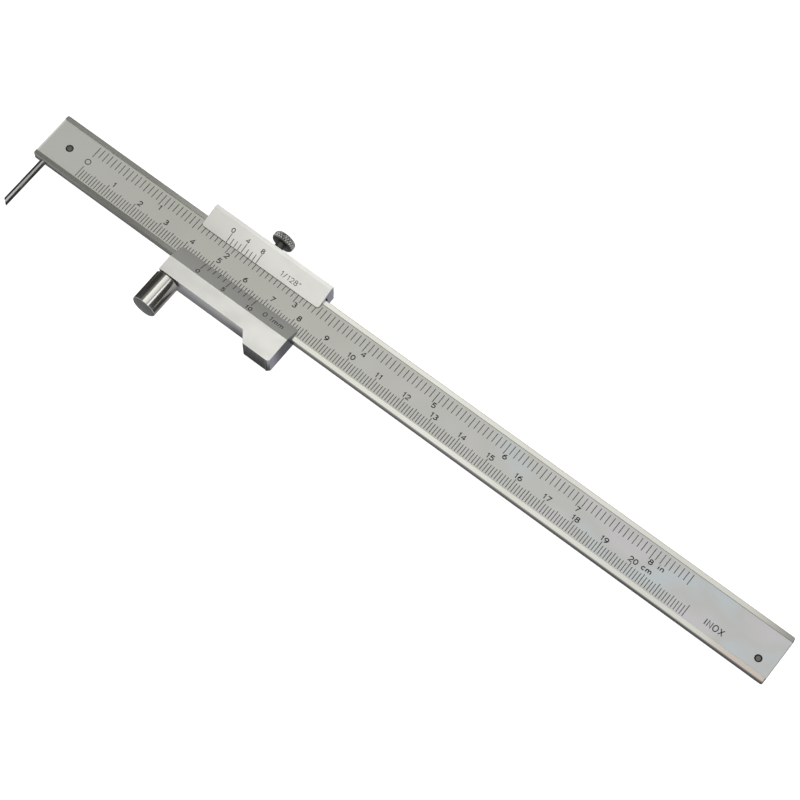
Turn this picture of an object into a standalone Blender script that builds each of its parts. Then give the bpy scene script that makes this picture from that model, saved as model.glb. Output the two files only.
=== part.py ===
"""Parallel-marking vernier caliper: a graduated beam with a clamped scriber, and a slider with a guide pin.

Construction coordinates: x runs along the beam from the scales' zero lines, y runs across the beam from
its centre line towards the lock screw, and z rises from the beam's rail faces. The finished model is
shifted so that its origin is the bottom centre of its bounding box.
"""
import bmesh
import bpy
from math import cos, pi, radians, sin

MM = 0.001

# Beam
BEAM_LENGTH = 263.2 * MM
BEAM_WIDTH = 16.0 * MM
BEAM_THICKNESS = 2.8 * MM
BEAM_LEFT_MARGIN = 14.7 * MM      # from the beam's left end to the scales' zero lines
BEAM_CORNER_RADIUS = 0.6 * MM
RAIL_WIDTH = 1.5 * MM
FLOOR_DEPTH = 0.25 * MM            # scale floor below the two polished rails

# Scriber and its pinch clamp in the beam's left end
SCRIBE_OFFSET = 10.0 * MM         # from the zero lines back to the scribing edge
SCRIBER_DIAMETER = 2.0 * MM
SCRIBER_BELOW_BEAM = 17.8 * MM    # from the beam's lower edge to the scribing tip
SCRIBER_LENGTH = 26.8 * MM
CARBIDE_LENGTH = 7.0 * MM
CARBIDE_SPIGOT_DIAMETER = 1.0 * MM
CARBIDE_SPIGOT_LENGTH = 2.0 * MM
TIP_GRIND = 1.6 * MM              # height of the oblique grind across the tip
SLIT_GAP = 0.3 * MM
SLIT_DEPTH = 10.9 * MM
CLAMP_SCREW_X = -7.2 * MM
CLAMP_SCREW_Y = -0.2 * MM
CLAMP_SCREW_DIAMETER = 2.3 * MM
CLAMP_HEAD_DIAMETER = 3.8 * MM

# End stop
STOP_SCREW_FROM_END = 4.9 * MM
STOP_SCREW_INSET = 5.0 * MM       # from the beam's lower edge
STOP_SCREW_DIAMETER = 2.2 * MM
STOP_HEAD_DIAMETER = 4.5 * MM
STOP_HEAD_HEIGHT = 1.2 * MM

# Slider
READING = 49.0 * MM               # distance set between the guide pin and the scribing edge
SLIDER_LENGTH = 43.5 * MM
SLIDER_LEFT_OF_ZERO = 9.2 * MM    # from the slider's left end to its vernier zero lines
FRONT_THICKNESS = 2.3 * MM        # slider's front face above the beam's rails
BACK_THICKNESS = 2.35 * MM
LOW_RAIL_WIDTH = 6.7 * MM         # beyond the beam's lower edge
TOP_RAIL_WIDTH = 2.95 * MM        # beyond the gib space
LIP_EDGE_THICKNESS = 0.15 * MM
METRIC_LIP_COVER = 3.6 * MM       # how far the metric lip reaches over the beam
METRIC_BEVEL_WIDTH = 5.1 * MM
INCH_LIP_COVER = 3.55 * MM
INCH_BEVEL_WIDTH = 6.2 * MM
LIP_CORNER_RADIUS = 0.8 * MM
EDGE_CHAMFER = 0.15 * MM
THUMB_REST_DROP = 3.7 * MM
THUMB_REST_FLAT = 9.3 * MM
THUMB_REST_SLOPE = 2.9 * MM
THUMB_REST_CHAMFER = 0.9 * MM
SERRATION_PITCH = 0.5 * MM
SERRATION_DEPTH = 0.2 * MM
REBATE_WIDTH = 3.0 * MM           # how far the back plate is let in beyond the beam's lower edge

# Gib and its screws
GIB_SPACE = 0.9 * MM              # between the beam's edge and the top rail
GIB_THICKNESS = 0.5 * MM
GIB_HOLE_DIAMETER = 1.3 * MM
GIB_SCREW_DIAMETER = 2.0 * MM
GIB_SCREW_INSET = 4.2 * MM        # from the slider's ends
DOG_POINT_DIAMETER = 1.0 * MM
DOG_POINT_LENGTH = 0.35 * MM

# Lock screw
LOCK_DIAMETER = 2.4 * MM
LOCK_NECK_DIAMETER = 2.8 * MM
LOCK_NECK_LENGTH = 2.65 * MM
LOCK_HEAD_DIAMETER = 7.3 * MM
LOCK_HEAD_THICKNESS = 2.4 * MM
LOCK_HEAD_CHAMFER = 0.45 * MM
LOCK_SHOE_LENGTH = 1.0 * MM
KNURL_TEETH = 24
KNURL_DEPTH = 0.25 * MM

# Guide pin
PIN_DIAMETER = 8.0 * MM
PIN_LENGTH = 11.5 * MM            # below the slider's lower side
PIN_NECK_DIAMETER = 6.6 * MM
PIN_NECK_LENGTH = 0.5 * MM
PIN_CHAMFER = 0.4 * MM
PIN_SPIGOT_DIAMETER = 4.5 * MM
PIN_SPIGOT_WALL = 0.4 * MM        # between the spigot's end and the back plate's rebate
PIN_SET_SCREW_DIAMETER = 2.0 * MM
PIN_SET_SCREW_INSET = 1.5 * MM    # above the slider's lower side

# Back plate screws
PLATE_SCREW_DIAMETER = 1.5 * MM
PLATE_HEAD_DIAMETER = 2.4 * MM
PLATE_SCREW_DEPTH = 3.4 * MM
PLATE_SCREW_INSET = 8.5 * MM      # from the slider's ends
PLATE_SCREW_BELOW_BEAM = 1.6 * MM

# Clearances
RUNNING = 0.05 * MM               # between the beam and what slides on it, and round every screw
SEAT = 0.05 * MM                  # between fixed pieces that meet
SCRIBER_FIT = 0.03 * MM
FACE_SET_BACK = 0.05 * MM         # flush screws end just below the surface
SCREW_END_CHAMFER = 0.35 * MM
SLOT_WIDTH = 0.45 * MM
SLOT_DEPTH = 0.45 * MM
OVERSHOOT = 1.0 * MM              # how far a cutter runs past what it cuts

# Derived places
BEAM_X0 = -BEAM_LEFT_MARGIN
BEAM_X1 = BEAM_X0 + BEAM_LENGTH
HALF_WIDTH = BEAM_WIDTH / 2
FLOOR_Z = -FLOOR_DEPTH
BEAM_BACK_Z = -BEAM_THICKNESS
SLIDER_X0 = READING - SLIDER_LEFT_OF_ZERO
SLIDER_X1 = SLIDER_X0 + SLIDER_LENGTH
SLIDER_MID_X = (SLIDER_X0 + SLIDER_X1) / 2
FRONT_Z = FRONT_THICKNESS
PLATE_TOP_Z = BEAM_BACK_Z - RUNNING
BACK_Z = PLATE_TOP_Z - BACK_THICKNESS
RAIL_BOTTOM_Y = -HALF_WIDTH - LOW_RAIL_WIDTH
METRIC_LIP_Y = -HALF_WIDTH + METRIC_LIP_COVER
METRIC_CREASE_Y = METRIC_LIP_Y - METRIC_BEVEL_WIDTH
INCH_LIP_Y = HALF_WIDTH - INCH_LIP_COVER
INCH_CREASE_Y = INCH_LIP_Y + INCH_BEVEL_WIDTH
REBATE_STEP_Y = -HALF_WIDTH - REBATE_WIDTH
PLATE_SCREW_LOW_Y = -HALF_WIDTH - PLATE_SCREW_BELOW_BEAM
TOP_RAIL_Y = HALF_WIDTH + GIB_SPACE
TOP_EDGE_Y = TOP_RAIL_Y + TOP_RAIL_WIDTH
TOP_RAIL_MID_Y = (TOP_RAIL_Y + TOP_EDGE_Y) / 2
LOCK_Z = (FRONT_Z + BACK_Z) / 2
GIB_Y0 = HALF_WIDTH + RUNNING
GIB_Y1 = GIB_Y0 + GIB_THICKNESS
LOCK_SHOE_Y = GIB_Y1 + RUNNING
LOCK_TIP_Y = LOCK_SHOE_Y + LOCK_SHOE_LENGTH + SEAT
LOCK_HEAD_Y = TOP_EDGE_Y + LOCK_NECK_LENGTH
LOCK_TOP_Y = LOCK_HEAD_Y + LOCK_HEAD_THICKNESS
PIN_X = READING - SCRIBE_OFFSET + PIN_DIAMETER / 2
PIN_Z = BACK_Z + PIN_DIAMETER / 2
PIN_END_Y = RAIL_BOTTOM_Y - PIN_LENGTH
PIN_SPIGOT_Y = REBATE_STEP_Y - PIN_SPIGOT_WALL
PIN_SET_SCREW_Y = RAIL_BOTTOM_Y + PIN_SET_SCREW_INSET
SCRIBER_X = -SCRIBE_OFFSET - SCRIBER_DIAMETER / 2
SCRIBER_Z = (FLOOR_Z + BEAM_BACK_Z) / 2
THUMB_REST_Y = RAIL_BOTTOM_Y - THUMB_REST_DROP
SCRIBER_TIP_Y = -HALF_WIDTH - SCRIBER_BELOW_BEAM
SCRIBER_TOP_Y = SCRIBER_TIP_Y + SCRIBER_LENGTH
STOP_SCREW_X = BEAM_X1 - STOP_SCREW_FROM_END
STOP_SCREW_Y = -HALF_WIDTH + STOP_SCREW_INSET
ORIGIN = (
    (BEAM_X0 + BEAM_X1) / 2,
    (min(PIN_END_Y, SCRIBER_TIP_Y) + LOCK_TOP_Y) / 2,
    BACK_Z,
)

SMALL_SEGMENTS = 24
ROUND_SEGMENTS = 64


def clear_scene():
    for item in list(bpy.data.objects):
        bpy.data.objects.remove(item, do_unlink=True)


def material(name, colour, metallic, roughness):
    made = bpy.data.materials.new(name)
    made.use_nodes = True
    shader = made.node_tree.nodes["Principled BSDF"]
    shader.inputs["Base Color"].default_value = (*colour, 1.0)
    shader.inputs["Metallic"].default_value = metallic
    shader.inputs["Roughness"].default_value = roughness
    return made


def empty(name, place):
    holder = bpy.data.objects.new(name, None)
    holder.location = [place[axis] - ORIGIN[axis] for axis in range(3)]
    bpy.context.scene.collection.objects.link(holder)
    return holder


def add(name, verts, faces, place=(0.0, 0.0, 0.0), finish=None, holder=None):
    """Makes an object from construction coordinates, with its own origin at place."""
    mesh = bpy.data.meshes.new(name)
    mesh.from_pydata([[v[axis] - place[axis] for axis in range(3)] for v in verts], [], faces)
    shell = bmesh.new()
    shell.from_mesh(mesh)
    bmesh.ops.recalc_face_normals(shell, faces=shell.faces)
    shell.to_mesh(mesh)
    shell.free()
    item = bpy.data.objects.new(name, mesh)
    bpy.context.scene.collection.objects.link(item)
    item.location = [place[axis] - ORIGIN[axis] for axis in range(3)]
    if finish:
        mesh.materials.append(finish)
    if holder:
        item.parent = holder
        item.location = item.location - holder.location
    return item


def loft(rings):
    """Closed body through rings of equal point count, with a flat face on each end."""
    count = len(rings[0])
    verts = [point for ring in rings for point in ring]
    faces = [list(range(count)), list(range((len(rings) - 1) * count, len(rings) * count))]
    for level in range(len(rings) - 1):
        for i in range(count):
            j = (i + 1) % count
            low = level * count
            faces.append([low + i, low + j, low + count + j, low + count + i])
    return verts, faces


def prism_z(outline, z0, z1):
    """Outline of (x, y) points carried from z0 to z1."""
    return loft([[(x, y, z) for x, y in outline] for z in (z0, z1)])


def prism_x(section, x0, x1):
    """Section of (y, z) points carried from x0 to x1."""
    return loft([[(x, y, z) for y, z in section] for x in (x0, x1)])


def box(x0, x1, y0, y1, z0, z1):
    return prism_z([(x0, y0), (x1, y0), (x1, y1), (x0, y1)], z0, z1)


def turned_y(x, z, profile, segments=SMALL_SEGMENTS):
    """Profile of (radius, y) stations turned about the line through (x, z) along y."""
    rings = []
    for radius, y in profile:
        angles = [2 * pi * i / segments for i in range(segments)]
        rings.append([(x + radius * cos(a), y, z + radius * sin(a)) for a in angles])
    return loft(rings)


def turned_z(x, y, profile, segments=SMALL_SEGMENTS):
    """Profile of (radius, z) stations turned about the line through (x, y) along z."""
    rings = []
    for radius, z in profile:
        angles = [2 * pi * i / segments for i in range(segments)]
        rings.append([(x + radius * cos(a), y + radius * sin(a), z) for a in angles])
    return loft(rings)


def rounded_rectangle(x0, x1, y0, y1, radii, steps=4):
    """Outline with a corner radius each at the low-left, low-right, high-right and high-left."""
    corners = [
        (x0, y0, 1, 1, pi),
        (x1, y0, -1, 1, 1.5 * pi),
        (x1, y1, -1, -1, 0),
        (x0, y1, 1, -1, 0.5 * pi),
    ]
    outline = []
    for (cx, cy, sx, sy, start), radius in zip(corners, radii):
        if radius == 0:
            outline.append((cx, cy))
            continue
        for step in range(steps + 1):
            angle = start + 0.5 * pi * step / steps
            x = cx + sx * radius + radius * cos(angle)
            y = cy + sy * radius + radius * sin(angle)
            outline.append((x, y))
    return outline


def chamfer_rims(item, z_levels, shortest):
    """Chamfers the outline edges that lie at the given heights and are longer than shortest."""
    shell = bmesh.new()
    shell.from_mesh(item.data)
    offset = ORIGIN[2] + item.matrix_basis.translation.z
    rims = []
    for edge in shell.edges:
        heights = [v.co.z + offset for v in edge.verts]
        on_rim = any(abs(heights[0] - z) < EDGE_CHAMFER / 10 for z in z_levels)
        if on_rim and abs(heights[0] - heights[1]) < EDGE_CHAMFER / 10 and edge.calc_length() > shortest:
            rims.append(edge)
    bmesh.ops.bevel(shell, geom=rims, offset=EDGE_CHAMFER, segments=1, affect="EDGES", clamp_overlap=True)
    shell.to_mesh(item.data)
    shell.free()


def cut(item, shape, label):
    """Takes a closed body, given in construction coordinates, out of an object."""
    cutter = add(f"cutter_{label}", *shape)
    cutter.hide_render = True
    cutter.display_type = "WIRE"
    difference = item.modifiers.new(label, "BOOLEAN")
    difference.operation = "DIFFERENCE"
    difference.solver = "EXACT"
    difference.object = cutter


def smooth(item, angle=30.0):
    item.data.shade_smooth()
    item.data.set_sharp_from_angle(angle=radians(angle))


def slot_cutter_z(x, y, z_face, z_inside):
    """Driver slot across a screw whose face looks along z."""
    half_length = max(CLAMP_HEAD_DIAMETER, STOP_HEAD_DIAMETER, PLATE_HEAD_DIAMETER)
    half_width = SLOT_WIDTH / 2
    return box(x - half_length, x + half_length, y - half_width, y + half_width, z_face, z_inside)


def make_beam(steel):
    outline = rounded_rectangle(BEAM_X0, BEAM_X1, -HALF_WIDTH, HALF_WIDTH, [BEAM_CORNER_RADIUS] * 4)
    beam = add("beam", *prism_z(outline, BEAM_BACK_Z, 0.0), finish=steel)
    chamfer_rims(beam, (BEAM_BACK_Z, 0.0), 0.0)
    floor_edge = HALF_WIDTH - RAIL_WIDTH
    floor = box(BEAM_X0 - OVERSHOOT, BEAM_X1 + OVERSHOOT, -floor_edge, floor_edge, FLOOR_Z, OVERSHOOT)
    cut(beam, floor, "scale_floor")
    slit_z = (SCRIBER_Z - SLIT_GAP / 2, SCRIBER_Z + SLIT_GAP / 2)
    slit_edge = HALF_WIDTH + OVERSHOOT
    cut(beam, box(BEAM_X0 - OVERSHOOT, BEAM_X0 + SLIT_DEPTH, -slit_edge, slit_edge, *slit_z), "clamp_slit")
    hole = SCRIBER_DIAMETER / 2 + SCRIBER_FIT
    cut(beam, turned_y(SCRIBER_X, SCRIBER_Z, [(hole, -slit_edge), (hole, slit_edge)]), "scriber_hole")
    cut(beam, clamp_screw_body(RUNNING, OVERSHOOT), "clamp_screw_hole")
    stop_hole = STOP_SCREW_DIAMETER / 2 + RUNNING
    stop_span = [(stop_hole, BEAM_BACK_Z - OVERSHOOT), (stop_hole, OVERSHOOT)]
    cut(beam, turned_z(STOP_SCREW_X, STOP_SCREW_Y, stop_span), "stop_screw_hole")
    return beam


def clamp_screw_body(growth, run_out):
    """Countersunk screw from the beam's back to the scale floor, grown all round for its hole."""
    shank = CLAMP_SCREW_DIAMETER / 2 + growth
    head = CLAMP_HEAD_DIAMETER / 2 + growth
    face = BEAM_BACK_Z + FACE_SET_BACK
    top = FLOOR_Z - FACE_SET_BACK + run_out
    profile = [(head, face), (shank, face + head - shank), (shank, top)]
    if run_out:
        profile.insert(0, (head, face - run_out))
    else:
        profile[-1:] = chamfered_end(shank, top)
    return turned_z(CLAMP_SCREW_X, CLAMP_SCREW_Y, profile)


def chamfered_end(radius, top):
    """Last stations of a screw that shows in the scale floor: a chamfer and a flat tip."""
    return [(radius, top - SCREW_END_CHAMFER), (radius - SCREW_END_CHAMFER, top)]


def make_clamp_screw(steel):
    place = (CLAMP_SCREW_X, CLAMP_SCREW_Y, BEAM_BACK_Z)
    screw = add("scriber_clamp_screw", *clamp_screw_body(0.0, 0.0), place=place, finish=steel)
    slot = slot_cutter_z(CLAMP_SCREW_X, CLAMP_SCREW_Y, BEAM_BACK_Z - OVERSHOOT, BEAM_BACK_Z + SLOT_DEPTH)
    cut(screw, slot, "clamp_screw_slot")
    smooth(screw)


def make_stop_screw(steel):
    head_top = BEAM_BACK_Z - SEAT
    head_bottom = head_top - STOP_HEAD_HEIGHT
    shank = STOP_SCREW_DIAMETER / 2
    head = STOP_HEAD_DIAMETER / 2
    profile = [
        (head - EDGE_CHAMFER, head_bottom),
        (head, head_bottom + EDGE_CHAMFER),
        (head, head_top),
        (shank, head_top),
    ]
    profile += chamfered_end(shank, FLOOR_Z - FACE_SET_BACK)
    place = (STOP_SCREW_X, STOP_SCREW_Y, head_top)
    screw = add("end_stop_screw", *turned_z(STOP_SCREW_X, STOP_SCREW_Y, profile), place=place, finish=steel)
    slot = slot_cutter_z(STOP_SCREW_X, STOP_SCREW_Y, head_bottom - OVERSHOOT, head_bottom + SLOT_DEPTH)
    cut(screw, slot, "stop_screw_slot")
    smooth(screw)


def make_scriber(steel, carbide):
    radius = SCRIBER_DIAMETER / 2
    joint_y = SCRIBER_TIP_Y + CARBIDE_LENGTH
    place = (SCRIBER_X, 0.0, SCRIBER_Z)
    holder = empty("scriber_axis", place)
    profile = [
        (radius, joint_y + SEAT / 2),
        (radius, SCRIBER_TOP_Y - EDGE_CHAMFER),
        (radius - EDGE_CHAMFER, SCRIBER_TOP_Y),
    ]
    shank = add("scriber_shank", *turned_y(SCRIBER_X, SCRIBER_Z, profile), place, steel, holder)
    bore = CARBIDE_SPIGOT_DIAMETER / 2 + RUNNING
    bore_top = joint_y + CARBIDE_SPIGOT_LENGTH + SEAT
    bore_span = [(bore, joint_y - OVERSHOOT), (bore, bore_top)]
    cut(shank, turned_y(SCRIBER_X, SCRIBER_Z, bore_span), "spigot_bore")
    smooth(shank)

    spigot = CARBIDE_SPIGOT_DIAMETER / 2
    shoulder = joint_y - SEAT / 2
    stations = [(spigot, joint_y + CARBIDE_SPIGOT_LENGTH), (spigot, shoulder), (radius, shoulder)]
    verts, faces = turned_y(SCRIBER_X, SCRIBER_Z, stations + [(radius, SCRIBER_TIP_Y)])
    last = len(verts) - SMALL_SEGMENTS
    for index in range(last, len(verts)):
        x, y, z = verts[index]
        rise = TIP_GRIND * (SCRIBER_X + radius - x) / SCRIBER_DIAMETER
        verts[index] = (x, y + rise, z)
    tip = add("scriber_tip", verts, faces, place, carbide, holder)
    smooth(tip)


def thumb_rest_outline():
    """Lower edge of the slider body from left to right: rail, slope, serrated flat and corner."""
    flat_end = SLIDER_X1 - THUMB_REST_CHAMFER
    flat_start = SLIDER_X1 - THUMB_REST_FLAT
    outline = [(SLIDER_X0, RAIL_BOTTOM_Y), (flat_start - THUMB_REST_SLOPE, RAIL_BOTTOM_Y)]
    outline.append((flat_start, THUMB_REST_Y))
    teeth = int((flat_end - flat_start) / SERRATION_PITCH)
    for tooth in range(teeth):
        x = flat_start + (tooth + 0.5) * SERRATION_PITCH
        outline.append((x, THUMB_REST_Y + SERRATION_DEPTH))
        outline.append((x + SERRATION_PITCH / 2, THUMB_REST_Y))
    outline.append((flat_end, THUMB_REST_Y))
    outline.append((SLIDER_X1, THUMB_REST_Y + THUMB_REST_CHAMFER))
    return [point for i, point in enumerate(outline) if i == 0 or point != outline[i - 1]]


def lip_corners(lip_y, side):
    """Two rounded corners of a lip's free edge, right to left for the metric side (+1) and back for inch."""
    radius = LIP_CORNER_RADIUS
    right = []
    for step in range(5):
        angle = 0.5 * pi * step / 4
        inset_x = radius * (1 - cos(angle))
        inset_y = radius * (1 - sin(angle))
        right.append((SLIDER_X1 - inset_x, lip_y - side * inset_y))
    left = [(SLIDER_X0 + SLIDER_X1 - x, y) for x, y in reversed(right)]
    return right + left


def make_slider_body(steel, holder):
    outline = thumb_rest_outline() + lip_corners(METRIC_LIP_Y, 1)
    place = (READING, 0.0, 0.0)
    body = add("slider_body", *prism_z(outline, BACK_Z, FRONT_Z), place, steel, holder)
    chamfer_rims(body, (BACK_Z, FRONT_Z), 2 * SERRATION_PITCH)
    past = METRIC_LIP_Y + 2 * OVERSHOOT
    section = [
        (METRIC_CREASE_Y, FRONT_Z),
        (METRIC_CREASE_Y, FRONT_Z + OVERSHOOT),
        (past, FRONT_Z + OVERSHOOT),
        (past, BACK_Z - OVERSHOOT),
        (REBATE_STEP_Y - SEAT, BACK_Z - OVERSHOOT),
        (REBATE_STEP_Y - SEAT, PLATE_TOP_Z + SEAT),
        (-HALF_WIDTH - RUNNING, PLATE_TOP_Z + SEAT),
        (-HALF_WIDTH - RUNNING, RUNNING),
        (METRIC_LIP_Y + EDGE_CHAMFER, RUNNING),
        (METRIC_LIP_Y + EDGE_CHAMFER, bevel_height(METRIC_CREASE_Y, METRIC_LIP_Y, EDGE_CHAMFER)),
    ]
    cut(body, prism_x(section, SLIDER_X0 - OVERSHOOT, SLIDER_X1 + OVERSHOOT), "channel_and_metric_bevel")
    spigot = PIN_SPIGOT_DIAMETER / 2 + RUNNING
    pin_hole = turned_y(PIN_X, PIN_Z, [(spigot, RAIL_BOTTOM_Y - OVERSHOOT), (spigot, PIN_SPIGOT_Y)])
    cut(body, pin_hole, "pin_hole")
    set_hole = PIN_SET_SCREW_DIAMETER / 2 + RUNNING
    set_span = [(set_hole, BACK_Z - OVERSHOOT), (set_hole, PIN_Z - PIN_SPIGOT_DIAMETER / 4)]
    cut(body, turned_z(PIN_X, PIN_SET_SCREW_Y, set_span), "pin_set_screw_hole")
    for index, (x, y) in enumerate(plate_screw_places()[:2]):
        cut(body, plate_screw_hole(x, y), f"low_plate_screw_hole_{index}")
    return body


def bevel_height(crease_y, lip_y, past_edge):
    """Height of the lip's bevel plane a little past the lip's free edge."""
    run = abs(lip_y - crease_y)
    edge_height = RUNNING + LIP_EDGE_THICKNESS
    return edge_height - past_edge * (FRONT_Z - edge_height) / run


def make_top_rail(steel, holder):
    corners = lip_corners(INCH_LIP_Y, -1)
    outline = [(SLIDER_X1, TOP_EDGE_Y)] + corners + [(SLIDER_X0, TOP_EDGE_Y)]
    place = (READING, 0.0, 0.0)
    rail = add("slider_top_rail", *prism_z(outline, PLATE_TOP_Z + SEAT, FRONT_Z), place, steel, holder)
    chamfer_rims(rail, (FRONT_Z,), 2 * SERRATION_PITCH)
    past = INCH_LIP_Y - 2 * OVERSHOOT
    section = [
        (INCH_CREASE_Y, FRONT_Z),
        (INCH_CREASE_Y, FRONT_Z + OVERSHOOT),
        (past, FRONT_Z + OVERSHOOT),
        (past, BACK_Z - OVERSHOOT),
        (TOP_RAIL_Y, BACK_Z - OVERSHOOT),
        (TOP_RAIL_Y, RUNNING),
        (INCH_LIP_Y - EDGE_CHAMFER, RUNNING),
        (INCH_LIP_Y - EDGE_CHAMFER, bevel_height(INCH_CREASE_Y, INCH_LIP_Y, EDGE_CHAMFER)),
    ]
    cut(rail, prism_x(section, SLIDER_X0 - OVERSHOOT, SLIDER_X1 + OVERSHOOT), "channel_and_inch_bevel")
    span = (TOP_RAIL_Y - OVERSHOOT / 2, TOP_EDGE_Y + OVERSHOOT)
    lock_hole = LOCK_DIAMETER / 2 + RUNNING
    cut(rail, turned_y(SLIDER_MID_X, LOCK_Z, [(lock_hole, y) for y in span]), "lock_screw_hole")
    gib_hole = GIB_SCREW_DIAMETER / 2 + RUNNING
    for index, x in enumerate(gib_screw_places()):
        cut(rail, turned_y(x, LOCK_Z, [(gib_hole, y) for y in span]), f"gib_screw_hole_{index}")
    for index, (x, y) in enumerate(plate_screw_places()[2:]):
        cut(rail, plate_screw_hole(x, y), f"high_plate_screw_hole_{index}")
    return rail


def gib_screw_places():
    return [SLIDER_X0 + GIB_SCREW_INSET, SLIDER_X1 - GIB_SCREW_INSET]


def plate_screw_places():
    """Two screws into the slider body, then two into the top rail."""
    columns = [SLIDER_X0 + PLATE_SCREW_INSET, SLIDER_X1 - PLATE_SCREW_INSET]
    return [(x, y) for y in (PLATE_SCREW_LOW_Y, TOP_RAIL_MID_Y) for x in columns]


def plate_screw_hole(x, y):
    radius = PLATE_SCREW_DIAMETER / 2 + RUNNING
    top = BACK_Z + FACE_SET_BACK + PLATE_SCREW_DEPTH + SEAT
    return turned_z(x, y, [(radius, BACK_Z - OVERSHOOT), (radius, top)])


def make_back_plate(steel, holder):
    radii = [0, 0, EDGE_CHAMFER, EDGE_CHAMFER]
    outline = rounded_rectangle(SLIDER_X0, SLIDER_X1, REBATE_STEP_Y, TOP_EDGE_Y, radii, 1)
    place = (READING, 0.0, 0.0)
    plate = add("slider_back_plate", *prism_z(outline, BACK_Z, PLATE_TOP_Z), place, steel, holder)
    shank = PLATE_SCREW_DIAMETER / 2 + RUNNING
    head = PLATE_HEAD_DIAMETER / 2 + RUNNING
    for index, (x, y) in enumerate(plate_screw_places()):
        profile = [
            (head, BACK_Z - OVERSHOOT),
            (head, BACK_Z + FACE_SET_BACK),
            (shank, BACK_Z + FACE_SET_BACK + head - shank),
            (shank, PLATE_TOP_Z + OVERSHOOT),
        ]
        cut(plate, turned_z(x, y, profile), f"countersink_{index}")


def make_plate_screws(steel, holder):
    """Countersunk screws from the back, a little below the plate's face."""
    shank = PLATE_SCREW_DIAMETER / 2
    head = PLATE_HEAD_DIAMETER / 2
    face = BACK_Z + FACE_SET_BACK
    profile = [(head, face), (shank, face + head - shank), (shank, face + PLATE_SCREW_DEPTH)]
    for number, (x, y) in enumerate(plate_screw_places(), 1):
        screw = add(f"back_plate_screw_{number}", *turned_z(x, y, profile), (x, y, face), steel, holder)
        slot = slot_cutter_z(x, y, face - OVERSHOOT, face + SLOT_DEPTH)
        cut(screw, slot, f"plate_screw_slot_{number}")
        smooth(screw)


def make_gib(bronze, holder):
    x0 = SLIDER_X0 + SLOT_WIDTH
    x1 = SLIDER_X1 - SLOT_WIDTH
    z0 = BEAM_BACK_Z + 2 * RUNNING
    z1 = -2 * RUNNING
    strip = add("gib_strip", *box(x0, x1, GIB_Y0, GIB_Y1, z0, z1), (READING, 0.0, 0.0), bronze, holder)
    hole = GIB_HOLE_DIAMETER / 2
    for index, x in enumerate(gib_screw_places()):
        span = [(hole, GIB_Y0 - OVERSHOOT), (hole, GIB_Y1 + OVERSHOOT)]
        cut(strip, turned_y(x, LOCK_Z, span, 16), f"gib_hole_{index}")


def make_gib_screws(steel, holder):
    """Dog-point set screws whose points sit in the gib strip's holes."""
    radius = GIB_SCREW_DIAMETER / 2
    dog = DOG_POINT_DIAMETER / 2
    seat = GIB_Y1 + SEAT
    top = TOP_EDGE_Y - 4 * FACE_SET_BACK
    profile = [(dog, seat - DOG_POINT_LENGTH), (dog, seat), (radius, seat), (radius, top)]
    for number, x in enumerate(gib_screw_places(), 1):
        place = (x, top, LOCK_Z)
        screw = add(f"gib_set_screw_{number}", *turned_y(x, LOCK_Z, profile), place, steel, holder)
        slot_z = (LOCK_Z - SLOT_WIDTH / 2, LOCK_Z + SLOT_WIDTH / 2)
        slot = box(x - 2 * radius, x + 2 * radius, top - SLOT_DEPTH, top + OVERSHOOT, *slot_z)
        cut(screw, slot, f"gib_screw_slot_{number}")
        smooth(screw)


def knurled_ring(x, y, z, radius, depth):
    """Ring about a line along y whose radius falls by depth between teeth."""
    ring = []
    count = KNURL_TEETH * 4
    for i in range(count):
        angle = 2 * pi * i / count
        reach = radius - (depth if i % 4 in (2, 3) else 0.0)
        ring.append((x + reach * cos(angle), y, z + reach * sin(angle)))
    return ring


def make_lock(steel, brass, slider):
    place = (SLIDER_MID_X, TOP_EDGE_Y, LOCK_Z)
    holder = empty("lock_axis", place)
    holder.parent = slider
    holder.location = holder.location - slider.location
    radius = LOCK_DIAMETER / 2
    shoe_profile = [(radius, LOCK_SHOE_Y), (radius, LOCK_SHOE_Y + LOCK_SHOE_LENGTH)]
    shoe = add("lock_shoe", *turned_y(SLIDER_MID_X, LOCK_Z, shoe_profile), place, brass)
    shoe.parent = holder
    shoe.location = (0.0, 0.0, 0.0)
    smooth(shoe)

    neck = LOCK_NECK_DIAMETER / 2
    head = LOCK_HEAD_DIAMETER / 2
    rim = head - LOCK_HEAD_CHAMFER
    x = SLIDER_MID_X
    z = LOCK_Z
    rings = [
        knurled_ring(x, LOCK_TIP_Y, z, radius, 0.0),
        knurled_ring(x, TOP_EDGE_Y + SEAT, z, radius, 0.0),
        knurled_ring(x, TOP_EDGE_Y + SEAT, z, neck, 0.0),
        knurled_ring(x, LOCK_HEAD_Y, z, neck, 0.0),
        knurled_ring(x, LOCK_HEAD_Y, z, rim, 0.0),
        knurled_ring(x, LOCK_HEAD_Y + LOCK_HEAD_CHAMFER, z, head, KNURL_DEPTH),
        knurled_ring(x, LOCK_TOP_Y - LOCK_HEAD_CHAMFER, z, head, KNURL_DEPTH),
        knurled_ring(x, LOCK_TOP_Y, z, rim, 0.0),
    ]
    screw = add("lock_screw", *loft(rings), place, steel)
    screw.parent = holder
    screw.location = (0.0, 0.0, 0.0)
    smooth(screw, 25.0)


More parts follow.
